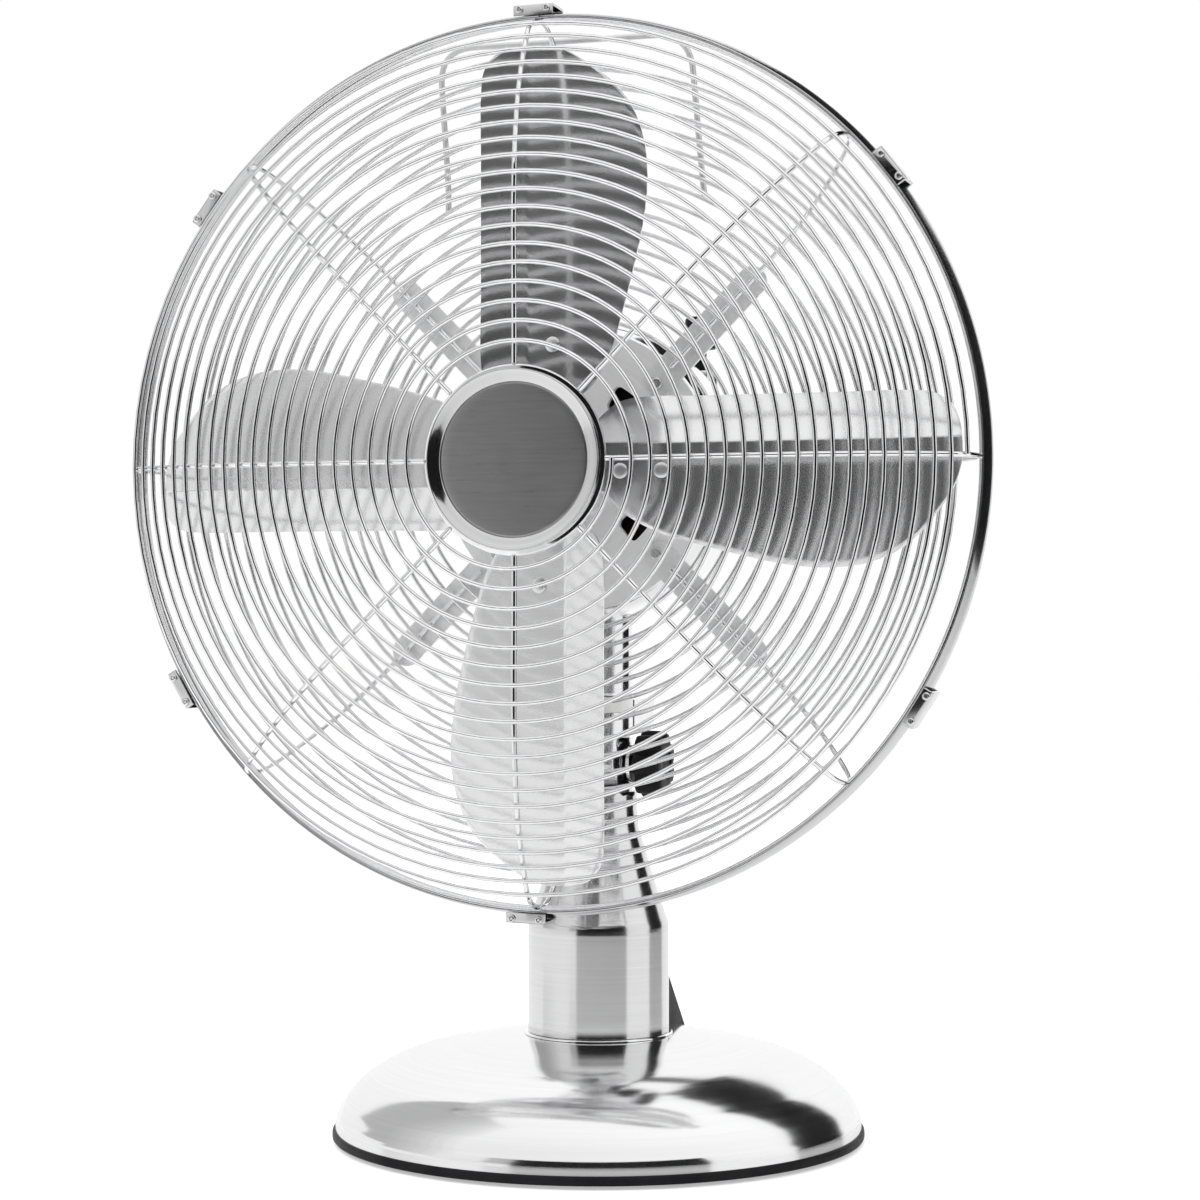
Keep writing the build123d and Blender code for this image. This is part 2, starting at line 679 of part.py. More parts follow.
with BuildPart() as hub_nut:
    with BuildSketch(on_axis(SP_Y - 7)):
        RegularPolygon(9, 6)
        Circle(SHAFT_R, mode=Mode.SUBTRACT)
    extrude(amount=6)
    with BuildSketch(on_axis(SP_Y - 13)):
        Circle(7.5)
    extrude(amount=4, taper=20)
    with BuildSketch(on_axis(SP_Y - 12)):
        Circle(SHAFT_R)
    extrude(amount=3.5, mode=Mode.SUBTRACT)
save(hub_nut, "hub_nut")

# ---- guards ----


def radial_path(fn, back, r_in, ring_y):
    """points of one radial wire centre line, in the section plane"""
    pts = []
    r = r_in
    while r < 178:
        pts.append((r, fn(r) + back))
        r += 14
    pts.append((181.5, fn(181.5) + back))
    pts.append((185.4, (fn(184.5) + back + ring_y) / 2))
    pts.append((RING_R - WIRE - 0.2, ring_y))
    return pts


def wire_set(pts, count, start):
    """radial wires as separate solids round the fan axis"""
    with BuildPart(mode=Mode.PRIVATE) as one:
        with BuildLine(section()) as path:
            Spline(*pts)
        with BuildSketch(Plane(origin=path.line @ 0, z_dir=path.line % 0)):
            Circle(WIRE)
        sweep(path=path.line)
    return [one.part.rotate(HEAD_AXIS, start + 360 * k / count) for k in range(count)]


def spiral_wire(fn, r0, turns, start_deg, hand):
    """one wire wound outward from r0, circle swept along a spline"""
    pts = []
    n = 14
    for i in range(int(turns * n) + 1):
        t = i / n
        r = r0 + (spiral_r(t) - SPIRAL_R0)
        a = radians(start_deg + hand * 360 * t)
        pts.append((r * cos(a), fn(r), HUB_Z + r * sin(a)))
    with BuildPart(mode=Mode.PRIVATE) as one:
        with BuildLine() as path:
            Spline(*pts)
        with BuildSketch(Plane(origin=path.line @ 0, z_dir=path.line % 0)):
            Circle(SPIRAL_WIRE)
        sweep(path=path.line, is_frenet=True)
    return one.part


def keep(shapes, name):
    whole = Compound(label=name, children=shapes) if len(shapes) > 1 else shapes[0]
    whole.label = name
    export_step(whole, f"parts/{name}.step")


keep(wire_set(radial_path(front_y, SPIRAL_WIRE + WIRE - 0.1, FLANGE_R, -80.0), 8, 0), "front_radial_wires")
keep([spiral_wire(front_y, SPIRAL_R0, SPIRAL_TURNS, 0, -1)], "front_spiral_wire")
keep(wire_set(radial_path(rear_y, SPIRAL_WIRE + WIRE - 0.1, 62.0, -74.4), 8, 0), "rear_radial_wires")
keep([spiral_wire(rear_y, 66.0, 15.0, 90, -1)], "rear_spiral_wire")

for name, y0 in (("front_outer_ring", -80.2), ("rear_outer_ring", -74.2)):
    with BuildPart() as ring:
        with BuildSketch(section()):
            with Locations((RING_R, y0)):
                Circle(RING_WIRE)
        revolve(axis=HEAD_AXIS)
    save(ring, name)

with BuildPart() as rim_band:
    with BuildSketch(section()):
        with BuildLine():
            Polyline((RIM_R - 2.5, RIM_Y[0]), (RIM_R - 2.5, RIM_Y[0] - LIP), (RIM_R, RIM_Y[0] - LIP),
                     (RIM_R, RIM_Y[1] + LIP), (RIM_R - 2.5, RIM_Y[1] + LIP), (RIM_R - 2.5, RIM_Y[1]),
                     (RIM_R - 1.3, RIM_Y[1]), (RIM_R - 1.3, RIM_Y[0]), close=True)
        make_face()
    revolve(axis=HEAD_AXIS)
    fillet(rim_band.edges().filter_by(GeomType.CIRCLE).sort_by(SortBy.RADIUS)[-2:], 0.5)
save(rim_band, "rim_band")

with BuildPart() as rim_clips:
    with BuildSketch(on_axis(RIM_Y[1] + 2.6)):
        for a in CLIP_ANGLES:
            with PolarLocations(190.9, 1, start_angle=a):
                Rectangle(4.6, CLIP_W)
    extrude(amount=RIM_Y[1] - RIM_Y[0] + 5.2)
    with BuildSketch(on_axis(RIM_Y[1] + 1.2)):
        Circle(RIM_R + 0.02)
    extrude(amount=RIM_Y[1] - RIM_Y[0] + 2.4, mode=Mode.SUBTRACT)
    with BuildSketch(on_axis(RIM_Y[1] + 3)):
        Circle(188.6)
    extrude(amount=30, mode=Mode.SUBTRACT)
    with BuildSketch(on_axis(RIM_Y[0] - 1.1)):
        for a in CLIP_ANGLES:
            with PolarLocations(191.2, 1, start_angle=a):
                with Locations((0, -6.0), (0, 6.0)):
                    Circle(0.9)
    extrude(amount=2.0, mode=Mode.SUBTRACT)
save(rim_clips, "rim_clips")

with BuildPart() as clip_rivets:
    with BuildSketch(on_axis(RIM_Y[0] - 2.6)):
        for a in CLIP_ANGLES:
            with PolarLocations(191.2, 1, start_angle=a):
                with Locations((0, -6.0), (0, 6.0)):
                    Circle(1.7)
    extrude(amount=1.0)
save(clip_rivets, "clip_rivets")

with BuildPart() as guard_centre_plate:
    with BuildSketch(on_axis(-110.6)):
        Circle(FLANGE_R - 0.05)
    extrude(amount=2.0)
save(guard_centre_plate, "guard_centre_plate")

with BuildPart() as badge_ring:
    with BuildSketch(section()):
        with BuildLine():
            Polyline((BADGE_R, -112.6), (BADGE_R, -115.2), (BADGE_R - 0.3, -115.9), (BADGE_R - 0.8, -115.9),
                     (PLATE_R, -114.0), (PLATE_R, -112.6), close=True)
        make_face()
    revolve(axis=HEAD_AXIS)
save(badge_ring, "badge_ring")

with BuildPart() as badge_plate:
    with BuildSketch(on_axis(-112.6)):
        Circle(PLATE_R - 0.05)
    extrude(amount=0.9)
save(badge_plate, "badge_plate")

# ---- carrying handle, bent from one wire ----
HANDLE_WIRE = 1.3
with BuildPart() as carry_handle:
    with BuildLine() as handle_path:
        FilletPolyline((-59.0, -33.64, HUB_Z + 115.5), (-58.3, -35.5, HUB_Z + 126), (-57, -50, HUB_Z + 184),
                       (57, -50, HUB_Z + 184), (58.3, -35.5, HUB_Z + 126), (59.0, -33.64, HUB_Z + 115.5),
                       radius=15)
    with BuildSketch(Plane(origin=handle_path.line @ 0, z_dir=handle_path.line % 0)):
        Circle(HANDLE_WIRE)
    sweep(path=handle_path.line)
save(carry_handle, "carry_handle")

# ---- oscillation drive ----
with BuildPart() as worm_wheel:
    with Locations((GEAR[0], GEAR[1], HUB_Z)):
        Cylinder(16.5, 7)
    with Locations((GEAR[0], GEAR[1], HUB_Z - 22)):
        Cylinder(3.0, 44, align=(Align.CENTER, Align.CENTER, Align.MIN))
    with Locations((GEAR[0], GEAR[1], HUB_Z)):
        with PolarLocations(17.2, 30):
            Box(1.8, 1.4, 8, mode=Mode.SUBTRACT)
save(worm_wheel, "worm_wheel")

with BuildPart() as gear_bracket:
    with Locations((0, GEAR[1], HUB_Z - 14)):
        Box(110, 12, 3)
    add(housing_cavity.part, mode=Mode.INTERSECT)
    with Locations((GEAR[0], GEAR[1], HUB_Z - 14)):
        Cylinder(3.05, 10, mode=Mode.SUBTRACT)
save(gear_bracket, "gear_bracket")

with BuildPart() as crank:
    with Locations((*CRANK, 203.0)):
        Cylinder(13, 4.0, align=(Align.CENTER, Align.CENTER, Align.MIN))
        Cylinder(4.0, 62, align=(Align.CENTER, Align.CENTER, Align.MIN))
    with Locations((*CRANK_PIN, 197.6)):
        Cylinder(2.4, 5.4, align=(Align.CENTER, Align.CENTER, Align.MIN))
save(crank, "crank")

with BuildPart() as link_arm:
    with BuildSketch(Plane.XY.offset(198.4)):
        with Locations(round_column(7.9, 60.8)):
            SlotCenterToCenter(41.6, 10, rotation=90 + LINK_TURN)
        with Locations(CRANK_PIN):
            Circle(2.45, mode=Mode.SUBTRACT)
        with Locations(BRACKET_PIN):
            Circle(2.4, mode=Mode.SUBTRACT)
    extrude(amount=2.4)
save(link_arm, "link_arm")

with BuildPart() as oscillation_knob:
    with BuildSketch(Plane.XY.offset(HUB_Z + 62.6)):
        with Locations(GEAR):
            Circle(7.2)
    extrude(amount=15)
    fillet(oscillation_knob.edges().group_by(Axis.Z)[-1], 2.0)
    with Locations((GEAR[0], GEAR[1], HUB_Z + 40)):
        Cylinder(3.0, 24, align=(Align.CENTER, Align.CENTER, Align.MIN))
save(oscillation_knob, "oscillation_knob")
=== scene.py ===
import bpy
import json
from math import sin, cos, pi, radians, sqrt
from mathutils import Matrix, Vector


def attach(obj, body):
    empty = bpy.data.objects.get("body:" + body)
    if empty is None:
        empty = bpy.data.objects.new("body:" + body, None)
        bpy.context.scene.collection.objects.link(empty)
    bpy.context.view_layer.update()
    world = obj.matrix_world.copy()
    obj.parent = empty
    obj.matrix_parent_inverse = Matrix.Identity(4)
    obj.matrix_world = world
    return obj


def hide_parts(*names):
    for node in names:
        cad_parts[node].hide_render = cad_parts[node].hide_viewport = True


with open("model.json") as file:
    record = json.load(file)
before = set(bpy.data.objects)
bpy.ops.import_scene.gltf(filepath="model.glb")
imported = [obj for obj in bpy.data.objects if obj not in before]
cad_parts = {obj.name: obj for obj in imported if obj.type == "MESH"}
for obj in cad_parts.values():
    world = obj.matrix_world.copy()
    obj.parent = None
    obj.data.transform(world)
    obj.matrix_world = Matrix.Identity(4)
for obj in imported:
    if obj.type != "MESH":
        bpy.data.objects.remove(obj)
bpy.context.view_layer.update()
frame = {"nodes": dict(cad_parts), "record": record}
NODES = frame["nodes"]

# ---- sizes shared with the CAD frame, in millimetres ----
MM = 0.001
HUB_Z = 296.5
ROTOR_Y = -72.0
SHEET = 1.2
RING_R = 187.6
SPIRAL_R0 = 42.5
SPIRAL_PITCH = 8.41
PITCH_LOSS = 0.067
TILT_Z = 166.9
HUB = Vector((0, 0, HUB_Z * MM))


# ================= materials =================

def new_material(name):
    m = bpy.data.materials.new(name)
    m.use_nodes = True
    return m, m.node_tree, m.node_tree.nodes["Principled BSDF"]


def math_node(tree, op, a, b=None, clamp=False):
    n = tree.nodes.new("ShaderNodeMath")
    n.operation = op
    n.use_clamp = clamp
    for i, v in enumerate((a, b)):
        if v is None:
            continue
        if isinstance(v, (int, float)):
            n.inputs[i].default_value = v
        else:
            tree.links.new(v, n.inputs[i])
    return n.outputs[0]


def combine(tree, x, y, z):
    n = tree.nodes.new("ShaderNodeCombineXYZ")
    for i, v in enumerate((x, y, z)):
        if isinstance(v, (int, float)):
            n.inputs[i].default_value = v
        else:
            tree.links.new(v, n.inputs[i])
    return n.outputs[0]


def object_xyz(tree):
    tc = tree.nodes.new("ShaderNodeTexCoord")
    sep = tree.nodes.new("ShaderNodeSeparateXYZ")
    tree.links.new(tc.outputs["Object"], sep.inputs[0])
    return tc.outputs["Object"], sep.outputs


def noise(tree, vector, scale=1.0, detail=3.0, rough=0.6):
    n = tree.nodes.new("ShaderNodeTexNoise")
    n.inputs["Scale"].default_value = scale
    n.inputs["Detail"].default_value = detail
    n.inputs["Roughness"].default_value = rough
    tree.links.new(vector, n.inputs["Vector"])
    return n.outputs["Fac"]


def spread(tree, fac, lo, hi, a=0.3, b=0.7):
    """value that goes from lo to hi as fac goes from a to b"""
    n = tree.nodes.new("ShaderNodeMapRange")
    n.inputs["From Min"].default_value = a
    n.inputs["From Max"].default_value = b
    n.inputs["To Min"].default_value = lo
    n.inputs["To Max"].default_value = hi
    tree.links.new(fac, n.inputs["Value"])
    return n.outputs["Result"]


def tint(tree, fac, dark, light):
    """colour between dark and light"""
    n = tree.nodes.new("ShaderNodeMix")
    n.data_type = "RGBA"
    n.inputs["A"].default_value = (*dark, 1)
    n.inputs["B"].default_value = (*light, 1)
    tree.links.new(fac, n.inputs["Factor"])
    return n.outputs["Result"]


def bump(tree, height, distance, strength, normal=None):
    n = tree.nodes.new("ShaderNodeBump")
    n.inputs["Distance"].default_value = distance
    n.inputs["Strength"].default_value = strength
    tree.links.new(height, n.inputs["Height"])
    if normal is not None:
        tree.links.new(normal, n.inputs["Normal"])
    return n.outputs["Normal"]


def line_vector(tree, kind, along, across, mix=(1.0, 0.0)):
    """noise coordinates stretched along the brushing: spun_z and spun_y run round the column or fan axis,
    x, y and z run straight along that axis"""
    _, (x, y, z) = object_xyz(tree)
    if kind == "spun_z":
        r = math_node(tree, "SQRT", math_node(tree, "ADD", math_node(tree, "MULTIPLY", x, x),
                                              math_node(tree, "MULTIPLY", y, y)))
        s = math_node(tree, "ADD", math_node(tree, "MULTIPLY", r, mix[0]),
                      math_node(tree, "MULTIPLY", z, mix[1]))
        return combine(tree, math_node(tree, "MULTIPLY", x, along), math_node(tree, "MULTIPLY", y, along),
                       math_node(tree, "MULTIPLY", s, across))
    if kind == "spun_y":
        z = math_node(tree, "SUBTRACT", z, HUB.z)
        r = math_node(tree, "SQRT", math_node(tree, "ADD", math_node(tree, "MULTIPLY", x, x),
                                              math_node(tree, "MULTIPLY", z, z)))
        s = math_node(tree, "ADD", math_node(tree, "MULTIPLY", r, mix[0]),
                      math_node(tree, "MULTIPLY", y, mix[1]))
        return combine(tree, math_node(tree, "MULTIPLY", x, along), math_node(tree, "MULTIPLY", z, along),
                       math_node(tree, "MULTIPLY", s, across))
    parts = [math_node(tree, "MULTIPLY", v, along if kind == a else across) for v, a in zip((x, y, z), "xyz")]
    return combine(tree, *parts)


def metal(name, dark, light, rough, brush=None, swing=0.05, depth=0.00002, strength=0.25, aniso=0.0,
          tangent=None, wear=0.03, detail=4.0, metallic=1.0):
    """bare metal: fine brushed lines in the height and the roughness, with soft smudges over them"""
    m, tree, bsdf = new_material(name)
    bsdf.inputs["Metallic"].default_value = metallic
    obj, _ = object_xyz(tree)
    smudge = noise(tree, obj, 22.0, 3.0, 0.55)
    if brush:
        vec = line_vector(tree, *brush)
        fine = noise(tree, vec, 1.0, detail, 0.7)
        coarse = noise(tree, vec, 0.22, 3.0, 0.6)
        lines = math_node(tree, "ADD", math_node(tree, "MULTIPLY", fine, 0.6),
                          math_node(tree, "MULTIPLY", coarse, 0.4))
    else:
        lines = noise(tree, obj, 500.0, 2.0, 0.5)
    tree.links.new(tint(tree, spread(tree, lines, 0, 1), dark, light), bsdf.inputs["Base Color"])
    r = math_node(tree, "ADD", spread(tree, lines, rough - swing, rough + swing),
                  spread(tree, smudge, -wear, wear), clamp=True)
    tree.links.new(r, bsdf.inputs["Roughness"])
    tree.links.new(bump(tree, lines, depth, strength), bsdf.inputs["Normal"])
    if aniso:
        bsdf.inputs["Anisotropic"].default_value = aniso
        t = tree.nodes.new("ShaderNodeTangent")
        t.direction_type = "RADIAL"
        t.axis = tangent
        tree.links.new(t.outputs[0], bsdf.inputs["Tangent"])
    return m


def plastic(name, dark, light, rough, grain=700.0, depth=0.00004, strength=0.3, coat=0.0, spec=0.5):
    """moulded plastic or rubber: fine leather-like grain with faint rubbed patches"""
    m, tree, bsdf = new_material(name)
    obj, _ = object_xyz(tree)
    fine = noise(tree, obj, grain, 3.0, 0.55)
    rub = noise(tree, obj, 35.0, 4.0, 0.6)
    tree.links.new(tint(tree, spread(tree, rub, 0, 1), dark, light), bsdf.inputs["Base Color"])
    r = math_node(tree, "ADD", spread(tree, fine, rough - 0.05, rough + 0.05),
                  spread(tree, rub, 0.06, -0.06), clamp=True)
    tree.links.new(r, bsdf.inputs["Roughness"])
    tree.links.new(bump(tree, fine, depth, strength), bsdf.inputs["Normal"])
    bsdf.inputs["Coat Weight"].default_value = coat
    bsdf.inputs["Specular IOR Level"].default_value = spec
    return m


def grey(level, blue=0.005):
    """neutral colour with a little more blue"""
    return (level, level, level + blue)


MAT = {
    # guard and its centre
    "guard_chrome": metal("guard_chrome", grey(0.80, 0.01), grey(0.87), 0.05, swing=0.015,
                          depth=0.000006, strength=0.08),
    "rim_steel": metal("rim_steel", grey(0.56), grey(0.64), 0.14, ("spun_y", 14, 2600, (0, 1)),
                       swing=0.03, strength=0.12),
    "badge_chrome": metal("badge_chrome", grey(0.57), grey(0.67), 0.11, ("spun_y", 14, 2600, (1, 0.5)),
                          swing=0.02, depth=0.00001, strength=0.1),
    "badge_brushed": metal("badge_brushed", grey(0.32), grey(0.40), 0.30, ("x", 60, 3200),
                           swing=0.03, depth=0.000006, strength=0.2, detail=2.0),
    # base, column and neck
    "brushed_base": metal("brushed_base", grey(0.80, 0.01), grey(0.87, 0), 0.115,
                          ("spun_z", 9, 1500, (1, -1)), swing=0.03, strength=0.16, aniso=0.55, tangent="Z"),
    "brushed_column": metal("brushed_column", grey(0.64, 0), grey(0.74), 0.13, ("spun_z", 26, 2200, (0, 1)),
                            swing=0.04, strength=0.2, aniso=0.4, tangent="Z"),
    "brushed_neck": metal("brushed_neck", grey(0.78, 0.01), grey(0.86), 0.14, ("spun_z", 12, 2600, (0.4, 1)),
                          swing=0.04, strength=0.15),
    "polished_ring": metal("polished_ring", grey(0.84, 0.01), grey(0.9, 0), 0.06, swing=0.02,
                           depth=0.00001, strength=0.08),
    # blades
    "blade_aluminium": metal("blade_aluminium", grey(0.81), grey(0.85), 0.12, ("x", 26, 900), swing=0.01,
                             depth=0.000003, strength=0.06, wear=0.0, detail=2.0, metallic=0.905),
    "rivet_aluminium": metal("rivet_aluminium", grey(0.82), grey(0.88, 0), 0.3, swing=0.03,
                             depth=0.000005, strength=0.1),
    # motor and its fittings
    "chrome_housing": metal("chrome_housing", grey(0.80, 0.01), grey(0.87), 0.11,
                            ("spun_y", 12, 1800, (-0.6, 1)), swing=0.03, strength=0.1, aniso=0.3,
                            tangent="Y"),
    "front_plate_steel": metal("front_plate_steel", grey(0.90), grey(0.96), 0.46,
                               ("spun_y", 12, 1100, (1, 0)), swing=0.03, depth=0.000008, strength=0.12,
                               detail=2.0, metallic=0.15),
    "arm_steel": metal("arm_steel", grey(0.86), grey(0.92), 0.34, swing=0.03, depth=0.000005,
                       strength=0.1, metallic=0.4),
    "grey_steel": metal("grey_steel", grey(0.56, 0.01), grey(0.70, 0.01), 0.27, ("x", 60, 900),
                        swing=0.07, strength=0.2),
    "zinc_screws": metal("zinc_screws", grey(0.66, 0), grey(0.78, -0.005), 0.2, swing=0.06),
    "laminations": metal("laminations", grey(0.10, 0.01), grey(0.22, 0.01), 0.4, ("y", 2200, 14)),
    "copper_windings": plastic("copper_windings", (0.020, 0.010, 0.006), (0.045, 0.022, 0.012), 0.45,
                               1400.0, 0.0003, 0.6, spec=0.2),
    "brass_worm": metal("brass_worm", (0.62, 0.43, 0.17), (0.78, 0.60, 0.28), 0.25, swing=0.06),
    "cast_weight": plastic("cast_weight", grey(0.08), grey(0.17), 0.6, 420.0, 0.0002, 0.5),
    # plastics and rubber
    "capacitor_case": plastic("capacitor_case", (0.62, 0.61, 0.58), (0.74, 0.73, 0.70), 0.35),
    "white_bush": plastic("white_bush", grey(0.80, -0.01), grey(0.90, -0.01), 0.32, 600.0),
    "black_plastic": plastic("black_plastic", grey(0.008, 0.001), grey(0.018, 0.001), 0.40, 900.0,
                             0.00005, 0.25, spec=0.06),
    "black_rubber": plastic("black_rubber", grey(0.014, 0), grey(0.030, 0), 0.62, 600.0),
    "rubber_pads": plastic("rubber_pads", grey(0.018, 0), grey(0.045, 0), 0.7, 520.0, 0.0001, 0.5),
}

# the carrying handle is satin where the guard is bright; its call names the guard's slot, but the handle gets
# this finish
HANDLE_FINISH = metal("handle_satin", grey(0.72), grey(0.80), 0.5, swing=0.03, depth=0.000005,
                      strength=0.1)

for row in frame["record"]["subparts"]:
    mesh = NODES[row["node"]].data
    mesh.materials.clear()
    mesh.materials.append(MAT[row["material_slot"]])


# ================= mesh helpers (millimetres in, metres out) =================

def piece(name, verts, faces, slot, body, nodes=(), sharp=38, merge=0.0, finish=None):
    mesh = bpy.data.meshes.new(name)
    mesh.from_pydata([tuple(c * MM for c in v) for v in verts], [], faces)
    mesh.validate()
    obj = bpy.data.objects.new(name, mesh)
    bpy.context.scene.collection.objects.link(obj)
    if merge:
        weld = obj.modifiers.new("weld", "WELD")
        weld.merge_threshold = merge * MM
        bpy.context.view_layer.objects.active = obj
        with bpy.context.temp_override(object=obj, active_object=obj, selected_objects=[obj]):
            bpy.ops.object.modifier_apply(modifier="weld")
    mesh = obj.data
    mesh.shade_smooth()
    mesh.set_sharp_from_angle(angle=radians(sharp))
    mesh.materials.append(finish or MAT[slot])
    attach(obj, body)
    if nodes:
        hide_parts(*nodes)
    return obj


def joined(groups):
    """one vertex and face list out of several"""
    verts, faces = [], []
    for v, f in groups:
        n = len(verts)
        verts += v
        faces += [tuple(i + n for i in face) for face in f]
    return verts, faces


def smooth_through(points, steps):
    """centripetal Catmull-Rom curve through the points"""
    pts = [Vector(p) for p in points]
    pts = [pts[0] * 2 - pts[1]] + pts + [pts[-1] * 2 - pts[-2]]
    out = []
    for i in range(1, len(pts) - 2):
        a, b, c, d = pts[i - 1:i + 3]
        t1 = sqrt((b - a).length)
        t2 = t1 + sqrt((c - b).length)
        t3 = t2 + sqrt((d - c).length)
        for k in range(steps):
            t = t1 + (t2 - t1) * k / steps
            p = a + (b - a) * (t / t1)
            q = b + (c - b) * ((t - t1) / (t2 - t1))
            r = c + (d - c) * ((t - t2) / (t3 - t2))
            p = p + (q - p) * (t / t2)
            q = q + (r - q) * ((t - t1) / (t3 - t1))
            out.append(p + (q - p) * ((t - t1) / (t2 - t1)))
    out.append(pts[-2])
    return out


def rounded(points, radii, steps=6):
    """polyline with its corners rounded off; radii is one number or one per point"""
    pts = [Vector(p) for p in points]
    if isinstance(radii, (int, float)):
        radii = [radii] * len(pts)
    out = [pts[0]]
    for i in range(1, len(pts) - 1):
        a, b, c = pts[i - 1], pts[i], pts[i + 1]
        cut = min(radii[i], 0.49 * (a - b).length, 0.49 * (c - b).length)
        if cut < 1e-6:
            out.append(b)
            continue
        p = b + (a - b).normalized() * cut
        q = b + (c - b).normalized() * cut
        for k in range(steps + 1):
            t = k / steps
            out.append(p * (1 - t) ** 2 + b * 2 * t * (1 - t) + q * t * t)
    out.append(pts[-1])
    return out


def tube(points, radius, sides=10, closed=False, caps=True):
    """round wire along a path; its end caps are low domes"""
    pts = [Vector(p) for p in points]
    n = len(pts)
    verts, faces = [], []
    tangents = []
    for i in range(n):
        a = pts[(i - 1) % n] if closed or i else pts[0]
        b = pts[(i + 1) % n] if closed or i < n - 1 else pts[-1]
        tangents.append((b - a).normalized())
    side = tangents[0].orthogonal().normalized()
    rings = []
    for i, t in enumerate(tangents):
        side = (side - t * side.dot(t)).normalized()
        up = t.cross(side)
        rings.append((side.copy(), up))
        for k in range(sides):
            w = 2 * pi * k / sides
            verts.append(tuple(pts[i] + (side * cos(w) + up * sin(w)) * radius))
    for i in range(n - 1 if not closed else n):
        j = (i + 1) % n
        for k in range(sides):
            m = (k + 1) % sides
            faces.append((i * sides + k, i * sides + m, j * sides + m, j * sides + k))
    if caps and not closed:
        for i, sign in ((0, -1), (n - 1, 1)):
            base = i * sides
            t, (s, u) = tangents[i], rings[i]
            start = len(verts)
            for k in range(sides):
                w = 2 * pi * k / sides
                out = (s * cos(w) + u * sin(w)) * radius * 0.72
                verts.append(tuple(pts[i] + t * sign * radius * 0.45 + out))
            tip = len(verts)
            verts.append(tuple(pts[i] + t * sign * radius * 0.62))
            for k in range(sides):
                m = (k + 1) % sides
                quad = (base + k, start + k, start + m, base + m)
                tri = (start + k, tip, start + m)
                faces.append(quad if sign > 0 else quad[::-1])
                faces.append(tri if sign > 0 else tri[::-1])
    return verts, faces


def lathe(profile, axis="Z", centre=(0, 0), segs=160, closed=False):
    """turned shape: profile of (radius, height); Z turns round the column axis, Y round the fan axis"""
    verts, faces = [], []
    for r, h in profile:
        for k in range(segs):
            a = 2 * pi * k / segs
            if axis == "Z":
                verts.append((centre[0] + r * cos(a), centre[1] + r * sin(a), h))
            else:
                verts.append((centre[0] + r * cos(a), h, HUB_Z + centre[1] + r * sin(a)))
    rows = len(profile)
    for i in range(rows if closed else rows - 1):
        j = (i + 1) % rows
        for k in range(segs):
            m = (k + 1) % segs
            faces.append((i * segs + k, i * segs + m, j * segs + m, j * segs + k))
    return verts, faces


def turn_head(v, angle):
    """point given beside the +X direction of the fan face, turned round the fan axis by an angle"""
    x, y, z = v
    a = radians(angle)
    return (x * cos(a) - z * sin(a), y, HUB_Z + x * sin(a) + z * cos(a))


def front_y(r):
    """Y of the front guard's wires at radius r: flat in the middle, curling back towards the rim"""
    u = (r - SPIRAL_R0) / 152.5
    return -114.2 - 8.4 * u ** 2 + 35.2 * u ** 4 + 2.5 * u ** 8


def rear_y(r):
    """Y of the rear guard's wires at radius r: flat, then forward to the rim"""
    return -35.6 if r <= 110 else -35.6 - 38.4 * ((r - 110) / 77.6) ** 2.6


# ================= guard =================

def spiral(fn, r0, turns, start, steps=90):
    """one wire wound outward from r0, with a pitch that tightens towards the rim"""
    pts = []
    for i in range(int(turns * steps) + 1):
        t = i / steps
        r = r0 + SPIRAL_PITCH * t - PITCH_LOSS * t * t
        a = radians(start - 360 * t)
        pts.append((r * cos(a), fn(r), HUB_Z + r * sin(a)))
    return pts


def radial(fn, back, r_in, ring_y):
    """path of a straight guard wire behind the spiral, bent at its outer end onto the ring"""
    pts = []
    r = r_in
    while r < 178:
        pts.append((r, fn(r) + back, 0))
        r += 14
    pts.append((181.5, fn(181.5) + back, 0))
    pts.append((185.4, (fn(184.5) + back + ring_y) / 2, 0))
    pts.append((186.25, ring_y, 0))
    return smooth_through(pts, 6)


piece("guard_front_spiral", *tube(spiral(front_y, SPIRAL_R0, 20.0, 0), 1.0), "guard_chrome", "head",
      ["front_spiral_wire"])
piece("guard_rear_spiral", *tube(spiral(rear_y, 66.0, 15.0, 90), 1.0), "guard_chrome", "head",
      ["rear_spiral_wire"])
for label, fn, r_in, ring_y, node in (("guard_front_radials", front_y, 39.5, -80.0, "front_radial_wires"),
                                      ("guard_rear_radials", rear_y, 62.0, -74.4, "rear_radial_wires")):
    path = radial(fn, 2.05, r_in, ring_y)
    groups = [tube([turn_head(p, 45 * k) for p in path], 1.15, 12) for k in range(8)]
    piece(label, *joined(groups), "guard_chrome", "head", [node])
for label, ring_y, node in (("guard_front_ring", -80.2, "front_outer_ring"),
                            ("guard_rear_ring", -74.2, "rear_outer_ring")):
    path = [turn_head((RING_R, ring_y, 0), 360 * k / 240) for k in range(240)]
    piece(label, *tube(path, 1.5, 12, closed=True), "guard_chrome", "head", [node])

band = [(188.1, -82.0), (188.1, -82.6), (188.25, -82.8), (188.6, -82.75), (189.0, -81.6), (189.4, -80.0),
        (189.8, -78.3), (190.2, -76.5), (190.5, -74.8), (190.6, -73.4), (190.5, -72.2), (190.1, -71.4),
        (189.4, -71.2), (188.3, -71.2), (188.1, -71.45), (188.1, -72.0), (188.9, -72.2), (188.9, -77),
        (188.4, -81.4), (188.3, -82.0)]
piece("rim_hoop", *lathe(band, "Y", segs=320, closed=True), "rim_steel", "head", ["rim_band"], sharp=40)

